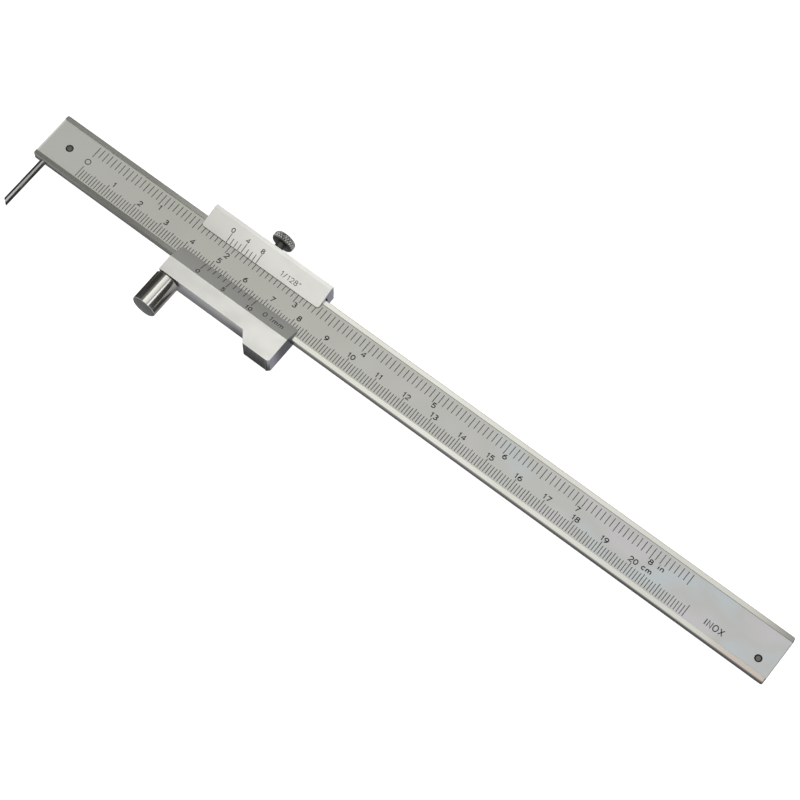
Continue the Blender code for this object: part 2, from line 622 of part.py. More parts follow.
def make_guide_pin(chrome, steel, holder):
    body = PIN_DIAMETER / 2
    neck = PIN_NECK_DIAMETER / 2
    spigot = PIN_SPIGOT_DIAMETER / 2
    seat = RAIL_BOTTOM_Y - SEAT
    shoulder = RAIL_BOTTOM_Y - PIN_NECK_LENGTH
    profile = [
        (spigot, PIN_SPIGOT_Y - SEAT),
        (spigot, seat),
        (neck, seat),
        (neck, shoulder),
        (body - EDGE_CHAMFER, shoulder),
        (body, shoulder - EDGE_CHAMFER),
        (body, PIN_END_Y + PIN_CHAMFER),
        (body - PIN_CHAMFER, PIN_END_Y),
    ]
    shape = turned_y(PIN_X, PIN_Z, profile, ROUND_SEGMENTS)
    pin = add("guide_pin", *shape, (PIN_X, RAIL_BOTTOM_Y, PIN_Z), chrome, holder)
    smooth(pin)

    radius = PIN_SET_SCREW_DIAMETER / 2
    low = BACK_Z + 2 * FACE_SET_BACK
    high = PIN_Z - PIN_SPIGOT_DIAMETER / 2 - SEAT
    shape = turned_z(PIN_X, PIN_SET_SCREW_Y, [(radius, low), (radius, high)])
    screw = add("guide_pin_set_screw", *shape, (PIN_X, PIN_SET_SCREW_Y, low), steel, holder)
    cut(screw, slot_cutter_z(PIN_X, PIN_SET_SCREW_Y, low - OVERSHOOT, low + SLOT_DEPTH), "pin_set_screw_slot")
    smooth(screw)


def main():
    clear_scene()
    beam_steel = material("satin_stainless", (0.50, 0.50, 0.48), 1.0, 0.38)
    slider_steel = material("bright_stainless", (0.70, 0.70, 0.68), 1.0, 0.32)
    screw_steel = material("screw_steel", (0.35, 0.35, 0.34), 1.0, 0.35)
    dark_steel = material("blackened_steel", (0.12, 0.12, 0.12), 1.0, 0.40)
    pin_chrome = material("polished_pin", (0.62, 0.62, 0.60), 1.0, 0.12)
    carbide = material("carbide", (0.22, 0.22, 0.23), 1.0, 0.30)
    bronze = material("spring_bronze", (0.62, 0.42, 0.20), 1.0, 0.35)
    brass = material("brass", (0.75, 0.58, 0.28), 1.0, 0.30)

    make_beam(beam_steel)
    make_clamp_screw(screw_steel)
    make_stop_screw(screw_steel)
    make_scriber(screw_steel, carbide)

    slider = empty("slider_axis", (READING, 0.0, 0.0))
    make_slider_body(slider_steel, slider)
    make_top_rail(slider_steel, slider)
    make_back_plate(slider_steel, slider)
    make_plate_screws(screw_steel, slider)
    make_gib(bronze, slider)
    make_gib_screws(dark_steel, slider)
    make_lock(dark_steel, brass, slider)
    make_guide_pin(pin_chrome, dark_steel, slider)


main()
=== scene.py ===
"""Looks of a parallel-marking vernier caliper: satin graduated beam, ground slider, pin, knurled screw.

Lengths below are in millimetres. Places are given as (x, y, z) from the zero line of the beam's scales,
the beam's centre line and the beam's rail faces, and at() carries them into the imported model's frame.
"""
import math

import bmesh
import bpy
import numpy as np
from mathutils import Matrix, Vector


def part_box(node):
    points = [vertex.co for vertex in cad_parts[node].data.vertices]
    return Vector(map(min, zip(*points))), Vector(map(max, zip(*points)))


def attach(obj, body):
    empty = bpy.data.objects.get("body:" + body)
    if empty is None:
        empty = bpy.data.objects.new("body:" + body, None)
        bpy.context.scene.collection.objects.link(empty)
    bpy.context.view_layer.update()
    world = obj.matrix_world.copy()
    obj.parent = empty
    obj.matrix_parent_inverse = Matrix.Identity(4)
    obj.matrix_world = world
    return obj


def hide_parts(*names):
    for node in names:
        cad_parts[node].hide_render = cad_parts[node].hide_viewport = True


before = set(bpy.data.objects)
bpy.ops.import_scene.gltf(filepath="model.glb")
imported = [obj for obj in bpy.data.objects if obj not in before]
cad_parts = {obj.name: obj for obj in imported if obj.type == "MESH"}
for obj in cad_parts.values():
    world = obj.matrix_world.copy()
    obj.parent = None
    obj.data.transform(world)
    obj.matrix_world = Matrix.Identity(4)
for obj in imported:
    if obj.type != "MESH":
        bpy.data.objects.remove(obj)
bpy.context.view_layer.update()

MM = 0.001
INCH = 25.4

# Beam and its two scales
ZERO_FROM_BEAM_END = 14.7
FLOOR_DEPTH = 0.25
RAIL_WIDTH = 1.5
METRIC_END = 220
METRIC_FOOT_Y = -6.1
METRIC_TICKS = {1: 3.1, 5: 3.5, 10: 3.9}
INCH_END = 8.5
INCH_TOP_Y = 5.7
INCH_TICKS = {1: 3.1, 2: 3.3, 8: 3.6, 16: 3.9}
TICK_WIDTH = 0.22
FIGURE_HEIGHT = 1.45
FIGURE_STROKE = 0.32
FIGURE_WIDENING = 1.35
INK_DEPTH = 0.03
INK_PROUD = 0.008
METRIC_FIGURE_Y = -1.25
INCH_FIGURE_Y = 1.35
FIGURE_RIGHT_OF_TICK = 1.05
STEEL_MARK_X = 229.0
STEEL_MARK_Y = -3.3
CENTIMETRE_MARK_X = 204.6
INCH_MARK_X = 207.6

# Slider
VERNIER_ZERO_FROM_END = 9.2
FRONT_THICKNESS = 2.3
LIP_EDGE_Z = 0.2
METRIC_LIP_Y = -4.4
METRIC_CREASE_Y = -9.5
INCH_LIP_Y = 4.45
INCH_CREASE_Y = 10.65
METRIC_VERNIER_STEP = 1.9
METRIC_VERNIER_TICKS = {1: 2.0, 5: 3.0}
INCH_VERNIER_STEP = INCH * 7 / 16 / 8
INCH_VERNIER_TICKS = {1: 2.2, 4: 3.2}
METRIC_UNIT_FROM_ZERO = 27.0
INCH_UNIT_FROM_ZERO = 22.5
THUMB_REST_LENGTH = 9.3
SERRATION_DEPTH = 0.2

# Turned pieces: radii and lengths that their boxes don't give
PIN_NECK_RADIUS = 3.3
PIN_NECK_LENGTH = 0.5
PIN_CHAMFER = 0.4
PIN_SPIGOT_RADIUS = 2.25
PIN_SPIGOT_LENGTH = 3.3
SEAT = 0.05
LOCK_RADIUS = 1.2
LOCK_NECK_RADIUS = 1.4
LOCK_NECK_LENGTH = 2.65
LOCK_HEAD_THICKNESS = 2.4
LOCK_HEAD_CHAMFER = 0.4
KNURL_COUNT = 26
KNURL_DEPTH = 0.32
KNURL_LEAN = 2.2
TIP_SPIGOT_RADIUS = 0.5
TIP_SPIGOT_LENGTH = 2.0
TIP_GRIND = 1.6
EDGE_BREAK = 0.06
SCRIBER_CLAMP_RADIUS = 1.15
END_STOP_RADIUS = 1.1
ROUND_SEGMENTS = 128

# Softbox overhead, in metres, the brightness of its strips from left to right, and a window beside it
SOFTBOX_LEFT = -0.45
SOFTBOX_RIGHT = 0.30
SOFTBOX_DEPTH = 1.45
SOFTBOX_Y = -0.175
SOFTBOX_HEIGHT = 1.0
SOFTBOX_RADIANCES = (1.15, 1.11, 1.01, 0.89, 0.78, 0.70, 0.58)
WINDOW_LEFT = 0.47
WINDOW_RIGHT = 0.80
WINDOW_RADIANCE = 1.4

beam_low, beam_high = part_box("beam")
slider_low, slider_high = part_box("slider_body")
ZERO = Vector((beam_low.x + ZERO_FROM_BEAM_END * MM, (beam_low.y + beam_high.y) / 2, beam_high.z))
BEAM_HALF_WIDTH = (beam_high.y - beam_low.y) / 2 / MM
BEAM_THICKNESS = (beam_high.z - beam_low.z) / MM
SLIDER_X0 = (slider_low.x - ZERO.x) / MM
SLIDER_X1 = (slider_high.x - ZERO.x) / MM
VERNIER_ZERO_X = SLIDER_X0 + VERNIER_ZERO_FROM_END
THUMB_REST_Y = (slider_low.y - ZERO.y) / MM
BACK_Z = (slider_low.z - ZERO.z) / MM


def at(points):
    """Model coordinates of points in millimetres: the points times a millimetre, plus the zero point."""
    return np.asarray(points, float) * MM + np.array(ZERO)


def local(place):
    """Millimetre coordinates of a model point: the point less the zero point, over a millimetre."""
    return (np.array(place) - np.array(ZERO)) / MM


# ---------------------------------------------------------------- surfaces

def quads(rows, columns, wrap_rows=False, wrap_columns=True, start=0):
    """Faces of a grid: each joins (r, c), (r, c+1), (r+1, c+1), (r+1, c), counted round where it wraps."""
    r = np.arange(rows if wrap_rows else rows - 1)[:, None]
    c = np.arange(columns if wrap_columns else columns - 1)[None, :]
    r_next = (r + 1) % rows
    c_next = (c + 1) % columns
    corners = [r * columns + c, r * columns + c_next, r_next * columns + c_next, r_next * columns + c]
    return np.stack(np.broadcast_arrays(*corners), -1).reshape(-1, 4) + start


def piece(name, points, faces, body, slot, finish, sharp=30.0, replaces=()):
    """A mesh of millimetre points, its faces turned outwards, riding on a body."""
    mesh = bpy.data.meshes.new(name)
    mesh.from_pydata(at(points).tolist(), [], [list(map(int, face)) for face in faces])
    shell = bmesh.new()
    shell.from_mesh(mesh)
    bmesh.ops.recalc_face_normals(shell, faces=shell.faces)
    shell.to_mesh(mesh)
    shell.free()
    return finished(name, mesh, body, finish, sharp, replaces)


def finished(name, mesh, body, finish, sharp=30.0, replaces=()):
    """An object of a mesh, shaded smooth up to the sharp angle, riding on a body in place of CAD nodes."""
    mesh.shade_smooth()
    mesh.set_sharp_from_angle(angle=math.radians(sharp))
    mesh.materials.clear()
    mesh.materials.append(finish)
    made = bpy.data.objects.new(name, mesh)
    bpy.context.scene.collection.objects.link(made)
    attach(made, body)
    if replaces:
        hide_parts(*replaces)
    return made


def soften(profile, radius):
    """Each corner P of a profile becomes the curve (1-t)^2 A + 2t(1-t) P + t^2 B, with A and B one
    radius back along its two sides, or half a side where that is shorter."""
    profile = np.asarray(profile, float)
    corner = profile[1:-1]
    back = profile[:-2] - corner
    ahead = profile[2:] - corner
    back_length = np.linalg.norm(back, axis=1, keepdims=True)
    ahead_length = np.linalg.norm(ahead, axis=1, keepdims=True)
    a = corner + back * np.minimum(radius / back_length, 0.45)
    b = corner + ahead * np.minimum(radius / ahead_length, 0.45)
    t = np.linspace(0.0, 1.0, 5)[None, :, None]
    curve = (1 - t) ** 2 * a[:, None] + 2 * t * (1 - t) * corner[:, None] + t ** 2 * b[:, None]
    return np.vstack([profile[:1], curve.reshape(-1, 2), profile[-1:]])


def turned(centre_x, centre_z, stations, segments=ROUND_SEGMENTS, relief=None, skew=None):
    """Profile of (radius r, y) carried round a line along y: (cx + r cos a, y, cz + r sin a).
    relief(a, y) is taken off the radius, and skew(a, station) is added to y."""
    stations = np.asarray(stations, float)
    angle = np.linspace(0.0, 2 * math.pi, segments, endpoint=False)[None, :]
    radius = np.repeat(stations[:, :1], segments, axis=1)
    y = np.repeat(stations[:, 1:], segments, axis=1)
    if relief is not None:
        radius = radius - relief(angle, y)
    if skew is not None:
        y = y + skew(angle, np.arange(len(stations))[:, None])
    points = np.stack([centre_x + radius * np.cos(angle), y, centre_z + radius * np.sin(angle)], -1)
    faces = quads(len(stations), segments).tolist()
    faces.append(list(range(segments)))
    faces.append(list(range((len(stations) - 1) * segments, len(stations) * segments)))
    return points.reshape(-1, 3), faces


# ---------------------------------------------------------------- ink: lines and figures

class Plane:
    """A flat face that carries ink: point(u, v, w) = origin + u along x + v up the face + w out of it."""

    def __init__(self, y, z, rise):
        self.origin = np.array([0.0, y, z])
        self.up = np.array([0.0, math.cos(rise), math.sin(rise)])
        self.out = np.array([0.0, -math.sin(rise), math.cos(rise)])

    def points(self, u, v, w):
        u, v, w = np.broadcast_arrays(u, v, w)
        along = np.stack([u, np.zeros_like(u), np.zeros_like(u)], -1)
        return self.origin + along + v[..., None] * self.up + w[..., None] * self.out


BEAM_FLOOR = Plane(0.0, -FLOOR_DEPTH, 0.0)
METRIC_BEVEL = Plane(METRIC_LIP_Y, LIP_EDGE_Z,
                     -math.atan2(FRONT_THICKNESS - LIP_EDGE_Z, METRIC_LIP_Y - METRIC_CREASE_Y))
INCH_BEVEL = Plane(INCH_LIP_Y, LIP_EDGE_Z,
                   math.atan2(FRONT_THICKNESS - LIP_EDGE_Z, INCH_CREASE_Y - INCH_LIP_Y))


def arc(cx, cy, rx, ry, start, end, steps=14):
    """Points cx + rx cos a, cy + ry sin a, for a from start to end degrees."""
    a = np.radians(np.linspace(start, end, steps))
    return np.stack([cx + rx * np.cos(a), cy + ry * np.sin(a)], -1)


def path(*parts):
    """Points and arcs of one stroke, one after another."""
    return np.vstack([np.atleast_2d(part) for part in parts])


def turned_over(strokes):
    """Strokes turned half round in their cell: (0.6 - x, 1 - y)."""
    return [np.array([0.6, 1.0]) - stroke for stroke in strokes]


SIX = [arc(0.56, 0.34, 0.54, 0.64, 98, 180), arc(0.3, 0.3, 0.28, 0.3, 0, 360, 17)]
GLYPHS = {
    "0": (0.60, [arc(0.3, 0.5, 0.28, 0.5, 90, 450, 21)]),
    "1": (0.46, [path((0.10, 0.78), (0.30, 1.0), (0.30, 0.0))]),
    "2": (0.60, [path(arc(0.3, 0.71, 0.27, 0.29, 170, -38), (0.02, 0.0), (0.6, 0.0))]),
    "3": (0.60, [path(arc(0.28, 0.755, 0.25, 0.245, 150, -80), arc(0.28, 0.27, 0.29, 0.27, 80, -150))]),
    "4": (0.64, [path((0.46, 0.0), (0.46, 1.0), (0.02, 0.28), (0.64, 0.28))]),
    "5": (0.60, [path((0.55, 1.0), (0.12, 1.0), (0.07, 0.56), arc(0.28, 0.32, 0.29, 0.32, 122, -150))]),
    "6": (0.60, SIX),
    "7": (0.60, [path((0.04, 1.0), (0.58, 1.0), (0.22, 0.0))]),
    "8": (0.60, [arc(0.3, 0.76, 0.23, 0.24, 90, 450, 17), arc(0.3, 0.27, 0.28, 0.27, 90, 450, 17)]),
    "9": (0.60, turned_over(SIX)),
    "c": (0.52, [arc(0.28, 0.32, 0.26, 0.32, 45, 315)]),
    "m": (0.88, [path((0.06, 0.64), (0.06, 0.0)),
                 path(arc(0.25, 0.44, 0.19, 0.2, 180, 0, 8), (0.44, 0.0)),
                 path(arc(0.63, 0.44, 0.19, 0.2, 180, 0, 8), (0.82, 0.0))]),
    "n": (0.54, [path((0.06, 0.64), (0.06, 0.0)), path(arc(0.27, 0.42, 0.21, 0.22, 180, 0, 8), (0.48, 0.0))]),
    "i": (0.20, [path((0.10, 0.0), (0.10, 0.64)), path((0.10, 0.84), (0.10, 0.97))]),
    "I": (0.24, [path((0.12, 0.0), (0.12, 1.0))]),
    "N": (0.68, [path((0.06, 0.0), (0.06, 1.0), (0.62, 0.0), (0.62, 1.0))]),
    "O": (0.74, [arc(0.37, 0.5, 0.34, 0.5, 90, 450, 21)]),
    "X": (0.66, [path((0.04, 0.0), (0.62, 1.0)), path((0.04, 1.0), (0.62, 0.0))]),
    "/": (0.46, [path((0.04, -0.08), (0.42, 1.08))]),
    '"': (0.34, [path((0.08, 1.05), (0.08, 0.75)), path((0.26, 1.05), (0.26, 0.75))]),
    ".": (0.20, [path((0.10, 0.0), (0.10, 0.1))]),
}
GLYPH_GAP = 0.2


def stroke_body(points, width, plane):
    """A line of even width: its two sides lie half a width along the mitre normal either way, from
    INK_DEPTH below the face to INK_PROUD above it. A line that meets its own start closes."""
    closed = np.allclose(points[0], points[-1])
    if closed:
        points = points[:-1]
    before = np.roll(points, 1, axis=0)
    after = np.roll(points, -1, axis=0)
    into = points - before
    out_of = after - points
    if not closed:
        into[0] = out_of[0]
        out_of[-1] = into[-1]
    into /= np.linalg.norm(into, axis=1, keepdims=True)
    out_of /= np.linalg.norm(out_of, axis=1, keepdims=True)
    normal = np.stack([-(into + out_of)[:, 1], (into + out_of)[:, 0]], -1)
    normal /= np.linalg.norm(normal, axis=1, keepdims=True)
    side = np.stack([-into[:, 1], into[:, 0]], -1)
    reach = width / 2 / np.maximum((normal * side).sum(1, keepdims=True), 0.55)
    left = points + normal * reach
    right = points - normal * reach
    u = np.stack([left[:, 0], right[:, 0], right[:, 0], left[:, 0]], 1)
    v = np.stack([left[:, 1], right[:, 1], right[:, 1], left[:, 1]], 1)
    w = np.array([[INK_PROUD, INK_PROUD, -INK_DEPTH, -INK_DEPTH]])
    count = len(points)
    faces = quads(count, 4, wrap_rows=closed).tolist()
    if not closed:
        faces += [[0, 1, 2, 3], [4 * count - 4, 4 * count - 3, 4 * count - 2, 4 * count - 1]]
    return plane.points(u, v, w).reshape(-1, 3), faces


def joined(bodies):
    """Several bodies in one list of points and faces, each body's faces counted on from the last."""
    points = []
    faces = []
    start = 0
    for body_points, body_faces in bodies:
        points.append(body_points)
        faces += [[index + start for index in face] for face in body_faces]
        start += len(body_points)
    return np.vstack(points), faces


def lettering(text, centre_u, centre_v, height, plane, width=FIGURE_STROKE, widening=FIGURE_WIDENING):
    """Bodies of a line of text centred on (centre_u, centre_v) of a plane, its letters drawn out sideways."""
    size = np.array([height * widening, height])
    advances = [(GLYPHS[letter][0] + GLYPH_GAP) * size[0] for letter in text]
    u = centre_u - (sum(advances) - GLYPH_GAP * size[0]) / 2
    v = centre_v - height / 2
    bodies = []
    for letter, advance in zip(text, advances):
        for stroke in GLYPHS[letter][1]:
            bodies.append(stroke_body(stroke * size + (u, v), width, plane))
        u += advance
    return bodies


def ticks(u, foot, tip, plane, width=TICK_WIDTH):
    """Closed bars, one for each u, from v = foot to v = tip: eight corners each, worked out together."""
    u, foot, tip = np.broadcast_arrays(np.asarray(u, float), foot, tip)
    side = np.array([-1, 1, 1, -1, -1, 1, 1, -1]) * width / 2
    end = np.array([0, 0, 1, 1, 0, 0, 1, 1])
    w = np.array([-INK_DEPTH] * 4 + [INK_PROUD] * 4)
    v = foot[:, None] + end * (tip - foot)[:, None]
    points = plane.points(u[:, None] + side, v, w[None, :])
    box = np.array([[3, 2, 1, 0], [4, 5, 6, 7], [0, 1, 5, 4], [1, 2, 6, 5], [2, 3, 7, 6], [3, 0, 4, 7]])
    faces = (np.arange(len(u))[:, None, None] * 8 + box).reshape(-1, 4)
    return points.reshape(-1, 3), faces.tolist()


def tick_lengths(count, lengths):
    """Length of each of count + 1 ticks: the longest rule whose step divides the tick's number."""
    number = np.arange(count + 1)
    result = np.zeros(count + 1)
    for step in sorted(lengths):
        result[number % step == 0] = lengths[step]
    return result


# ---------------------------------------------------------------- finishes

class Field:
    """A number that varies over a surface. Sums and products of fields add the nodes that work them out."""

    def __init__(self, finish, socket):
        self.finish = finish
        self.socket = socket

    def math(self, operation, *values):
        inputs = {index: value for index, value in enumerate(values)}
        return self.finish.node("ShaderNodeMath", {"operation": operation}, inputs)

    def __add__(self, other):
        return self.math("ADD", self, other)

    def __radd__(self, other):
        return self.math("ADD", other, self)

    def __sub__(self, other):
        return self.math("SUBTRACT", self, other)

    def __rsub__(self, other):
        return self.math("SUBTRACT", other, self)

    def __mul__(self, other):
        return self.math("MULTIPLY", self, other)

    def __abs__(self):
        return self.math("ABSOLUTE", self)

    def above(self, low, high):
        """0 below low, 1 above high, smooth between."""
        settings = {"interpolation_type": "SMOOTHSTEP"}
        return self.finish.node("ShaderNodeMapRange", settings, {"Value": self, 1: low, 2: high})

    def between(self, low, high, edge):
        """1 from low to high and 0 outside, smooth over an edge at both."""
        return self.above(low - edge, low + edge) * (1 - self.above(high - edge, high + edge))


class Finish:
    """A material whose nodes are added one by one, ending in its Principled shader."""

    def __init__(self, name, tree=None):
        self.material = None
        if tree is None:
            self.material = bpy.data.materials.new(name)
            self.material.use_nodes = True
            tree = self.material.node_tree
        self.tree = tree
        self.shader = tree.nodes.get("Principled BSDF")
        self.place = None

    def node(self, kind, settings=None, inputs=None, output=0):
        made = self.tree.nodes.new(kind)
        for key, value in (settings or {}).items():
            setattr(made, key, value)
        for key, value in (inputs or {}).items():
            self.feed(made.inputs[key], value)
        return Field(self, made.outputs[output])

    def feed(self, socket, value):
        if isinstance(value, Field):
            self.tree.links.new(value.socket, socket)
        elif isinstance(value, (tuple, list)) and len(value) == 3 and socket.type == "RGBA":
            socket.default_value = (*value, 1.0)
        else:
            socket.default_value = value

    def coordinates(self):
        """Object coordinates in millimetres from the zero point."""
        if self.place is None:
            raw = self.node("ShaderNodeTexCoord", output=3)
            moved = self.node("ShaderNodeVectorMath", {"operation": "SUBTRACT"}, {0: raw, 1: tuple(ZERO)})
            self.place = self.node(
                "ShaderNodeVectorMath", {"operation": "SCALE"}, {0: moved, "Scale": 1 / MM})
        return self.place

    def axis(self, index):
        return self.node("ShaderNodeSeparateXYZ", inputs={0: self.coordinates()}, output=index)

    def noise(self, scale, stretch=(1.0, 1.0, 1.0), detail=2.0, rough=0.5):
        """Noise from 0 to 1, scale features a millimetre, drawn out along an axis where stretch is small."""
        place = self.node("ShaderNodeVectorMath", {"operation": "MULTIPLY"},
                          {0: self.coordinates(), 1: stretch})
        inputs = {"Vector": place, "Scale": scale, "Detail": detail, "Roughness": rough}
        return self.node("ShaderNodeTexNoise", inputs=inputs)

    def radius(self, axis_point, across=(0, 2)):
        """Distance in millimetres from a line through a point, along the axis that is left out."""
        first = self.axis(across[0]) - float(axis_point[across[0]])
        second = self.axis(across[1]) - float(axis_point[across[1]])
        square = first * first + second * second
        return square.math("SQRT", square)

    def mixed(self, share, a, b):
        """Colour a where share is 0, and b where it is 1."""
        inputs = {"Factor": share, 6: a, 7: b}
        return self.node("ShaderNodeMix", {"data_type": "RGBA"}, inputs, output=2)

    def bump(self, height, strength, distance):
        """distance is the height in millimetres that 1 stands for."""
        inputs = {"Height": height, "Strength": strength, "Distance": distance * MM}
        self.feed(self.shader.inputs["Normal"], self.node("ShaderNodeBump", inputs=inputs))

    def surface(self, **sockets):
        for name, value in sockets.items():
            self.feed(self.shader.inputs[name.replace("_", " ")], value)
        return self.material


def beam_finish():
    """Satin scale floor between two polished rails, with ground lines along the beam, and painted light and
    shade on the rails, step lines, left end and sides.
    """
    finish = Finish("satin_beam")
    x = finish.axis(0)
    y = finish.axis(1)
    across = abs(y)
    z = finish.axis(2)
    floor_edge = BEAM_HALF_WIDTH - RAIL_WIDTH
    rail = across.above(floor_edge - 0.02, floor_edge + 0.03)
    grain = finish.noise(6.0, detail=3.0)
    lines = finish.noise(5.0, (0.02, 1.0, 1.0), detail=2.0)
    clouds = finish.noise(0.035, detail=2.0)
    tint = finish.noise(0.09, (0.6, 1.0, 1.0), detail=1.0)
    drift = x.above(60.0, 240.0)
    # Painted shadow: a thin dark line along each rail's inner step.
    step_painted_shadow = across.between(floor_edge - 0.08, floor_edge + 0.02, 0.04)
    floor = finish.mixed(x.above(-20.0, 50.0), (0.755, 0.765, 0.735), (0.63, 0.63, 0.59))
    floor = finish.mixed(drift, floor, (0.64, 0.65, 0.66))
    floor = finish.mixed(clouds.above(0.35, 0.75) * 0.4, floor, (0.73, 0.73, 0.71))
    floor = finish.mixed(tint.above(0.50, 0.66) * drift * 0.7, floor, (0.66, 0.73, 0.78))
    floor = finish.mixed((1 - tint.above(0.34, 0.50)) * drift * 0.6, floor, (0.745, 0.715, 0.765))
    # Painted highlight: a near-white strip along the beam's left end.
    floor = finish.mixed(1 - x.above(-14.25, -14.05), floor, (1.0, 1.0, 0.98))
    polished = finish.mixed(clouds.above(0.4, 0.7), (0.63, 0.63, 0.60), (0.58, 0.58, 0.54))
    # Painted shade: the rails are painted darker from the left end to the slider, and darker still on the
    # metric side.
    rails_painted_dark = finish.mixed(x.above(-12.0, 24.0), (0.58, 0.585, 0.55), (0.385, 0.39, 0.36))
    inch_side = y.above(-1.0, 1.0)
    rails_painted_dark = finish.mixed((1 - inch_side) * 0.28, rails_painted_dark, (0.0, 0.0, 0.0))
    polished = finish.mixed(x.above(40.0, 62.0), rails_painted_dark, polished)
    # Painted shade on the inch-side rail towards the right end; the metric-side rail there is given a warmer
    # tone.
    polished = finish.mixed(x.above(232.0, 252.0) * inch_side * 0.85, polished, (0.22, 0.22, 0.21))
    polished = finish.mixed(x.above(224.0, 238.0) * (1 - inch_side), polished, (0.57, 0.51, 0.47))
    colour = finish.mixed(rail, floor, polished)
    colour = finish.mixed(step_painted_shadow * 0.45, colour, (0.12, 0.12, 0.11))
    # Painted shade: the beam's sides are darker to the right and darkest along the bottom edge.
    side = finish.mixed(x.above(140.0, 215.0), (0.36, 0.36, 0.32), (0.16, 0.16, 0.14))
    side = finish.mixed(z.above(-BEAM_THICKNESS, -BEAM_THICKNESS * 0.3), (0.08, 0.08, 0.068), side)
    colour = finish.mixed(1 - z.above(-FLOOR_DEPTH - 0.7, -FLOOR_DEPTH - 0.05), colour, side)
    rough = rail * (0.19 + lines * 0.03) + (1 - rail) * (0.40 + grain * 0.08 + clouds * 0.06)
    finish.bump(grain * (1 - rail), 0.3, 0.004)
    return finish.surface(Base_Color=colour, Metallic=1.0, Roughness=rough)


def slider_finish():
    """Fine satin faces with ground lines along the slider, and painted light and shade: inch bevel darker,
    top flat whiter, sides darker towards the back and by the rest, end face bluish and shaded by the beam,
    rest grooves dark and crests brighter."""
    finish = Finish("ground_slider_steel")
    x = finish.axis(0)
    y = finish.axis(1)
    z = finish.axis(2)
    lines = finish.noise(7.0, (0.03, 1.0, 1.0), detail=2.0)
    grain = finish.noise(10.0, detail=2.0)
    smudge = finish.noise(0.12, (1.0, 1.4, 1.0), detail=3.0).above(0.42, 0.72)
    on_rest = x.above(SLIDER_X1 - THUMB_REST_LENGTH - 0.3, SLIDER_X1 - THUMB_REST_LENGTH)
    groove = y.between(THUMB_REST_Y + 0.07, THUMB_REST_Y + SERRATION_DEPTH + 0.05, 0.03) * on_rest
    crest = (1 - y.above(THUMB_REST_Y + 0.02, THUMB_REST_Y + 0.09)) * on_rest
    back = 1 - z.above(BACK_Z, FRONT_THICKNESS - 0.3)
    end = x.above(SLIDER_X1 - 0.1, SLIDER_X1 - 0.02)
    inside = y.between(THUMB_REST_Y + 4.0, 0.0, 2.5) * end
    top_flat = y.above(INCH_CREASE_Y - 0.1, INCH_CREASE_Y + 0.1)
    # Where painted shadow falls on the side by the thumb rest.
    shadow_by_rest = x.above(SLIDER_X0 + 23.0, SLIDER_X0 + 30.0) * (1 - y.above(THUMB_REST_Y + 8.0, -8.1))
    colour = finish.mixed(smudge * 0.5, (0.79, 0.79, 0.775), (0.735, 0.735, 0.72))
    # Painted light and shade: the inch bevel is painted a little darker and the top flat whiter.
    inch_bevel = y.between(INCH_LIP_Y - 0.5, INCH_CREASE_Y, 0.1)
    colour = finish.mixed(inch_bevel * 0.8, colour, (0.70, 0.70, 0.68))
    colour = finish.mixed(top_flat * 0.9, colour, (0.91, 0.91, 0.905))
    # Painted shade: the sides are darker towards the back, and darkest near the rest.
    colour = finish.mixed(back * (1 - end) * 0.78, colour, (0.22, 0.22, 0.215))
    colour = finish.mixed(back * (1 - end) * shadow_by_rest * 0.85, colour, (0.10, 0.10, 0.095))
    # Painted reflection and shade: the end face is painted bluish, and darker where it meets the beam.
    colour = finish.mixed(end * 0.8, colour, (0.70, 0.70, 0.78))
    colour = finish.mixed(inside * 0.85, colour, (0.12, 0.12, 0.14))
    # Painted shade in the serration grooves and a painted highlight on their crests.
    colour = finish.mixed(groove * 0.9, colour, (0.04, 0.04, 0.04))
    colour = finish.mixed(crest * 0.85, colour, (0.15, 0.155, 0.15))
    rough = 0.26 + lines * 0.09 + smudge * 0.05 + groove * 0.2
    finish.bump(lines + grain * 0.4, 0.25, 0.003)
    return finish.surface(Base_Color=colour, Metallic=1.0, Roughness=rough)


def pin_finish(centre, low_y):
    """Ground and polished pin with faint lines round it, its undercut neck by the slider painted dark as
    shade, and its end face coloured darker.
    """
    finish = Finish("polished_pin")
    y = finish.axis(1)
    lines = finish.noise(6.0, (0.05, 1.0, 0.05), detail=2.0)
    haze = finish.noise(0.5, detail=2.0)
    neck = 1 - finish.radius(centre).above(PIN_NECK_RADIUS + 0.05, PIN_NECK_RADIUS + 0.2)
    inner = y.above(THUMB_REST_Y, THUMB_REST_Y + 1.0)
    end = 1 - y.above(low_y + PIN_CHAMFER - 0.1, low_y + PIN_CHAMFER)
    colour = finish.mixed(lines * 0.35, (0.68, 0.67, 0.645), (0.58, 0.57, 0.54))
    # Painted shade in the undercut neck by the slider.
    colour = finish.mixed(neck * inner * 0.9, colour, (0.05, 0.05, 0.05))
    colour = finish.mixed(end * (0.78 + haze * 0.3), colour, (0.16, 0.17, 0.155))
    rough = 0.11 + haze * 0.05 + lines * 0.04
    finish.bump(lines, 0.08, 0.003)
    return finish.surface(Base_Color=colour, Metallic=1.0, Roughness=rough)


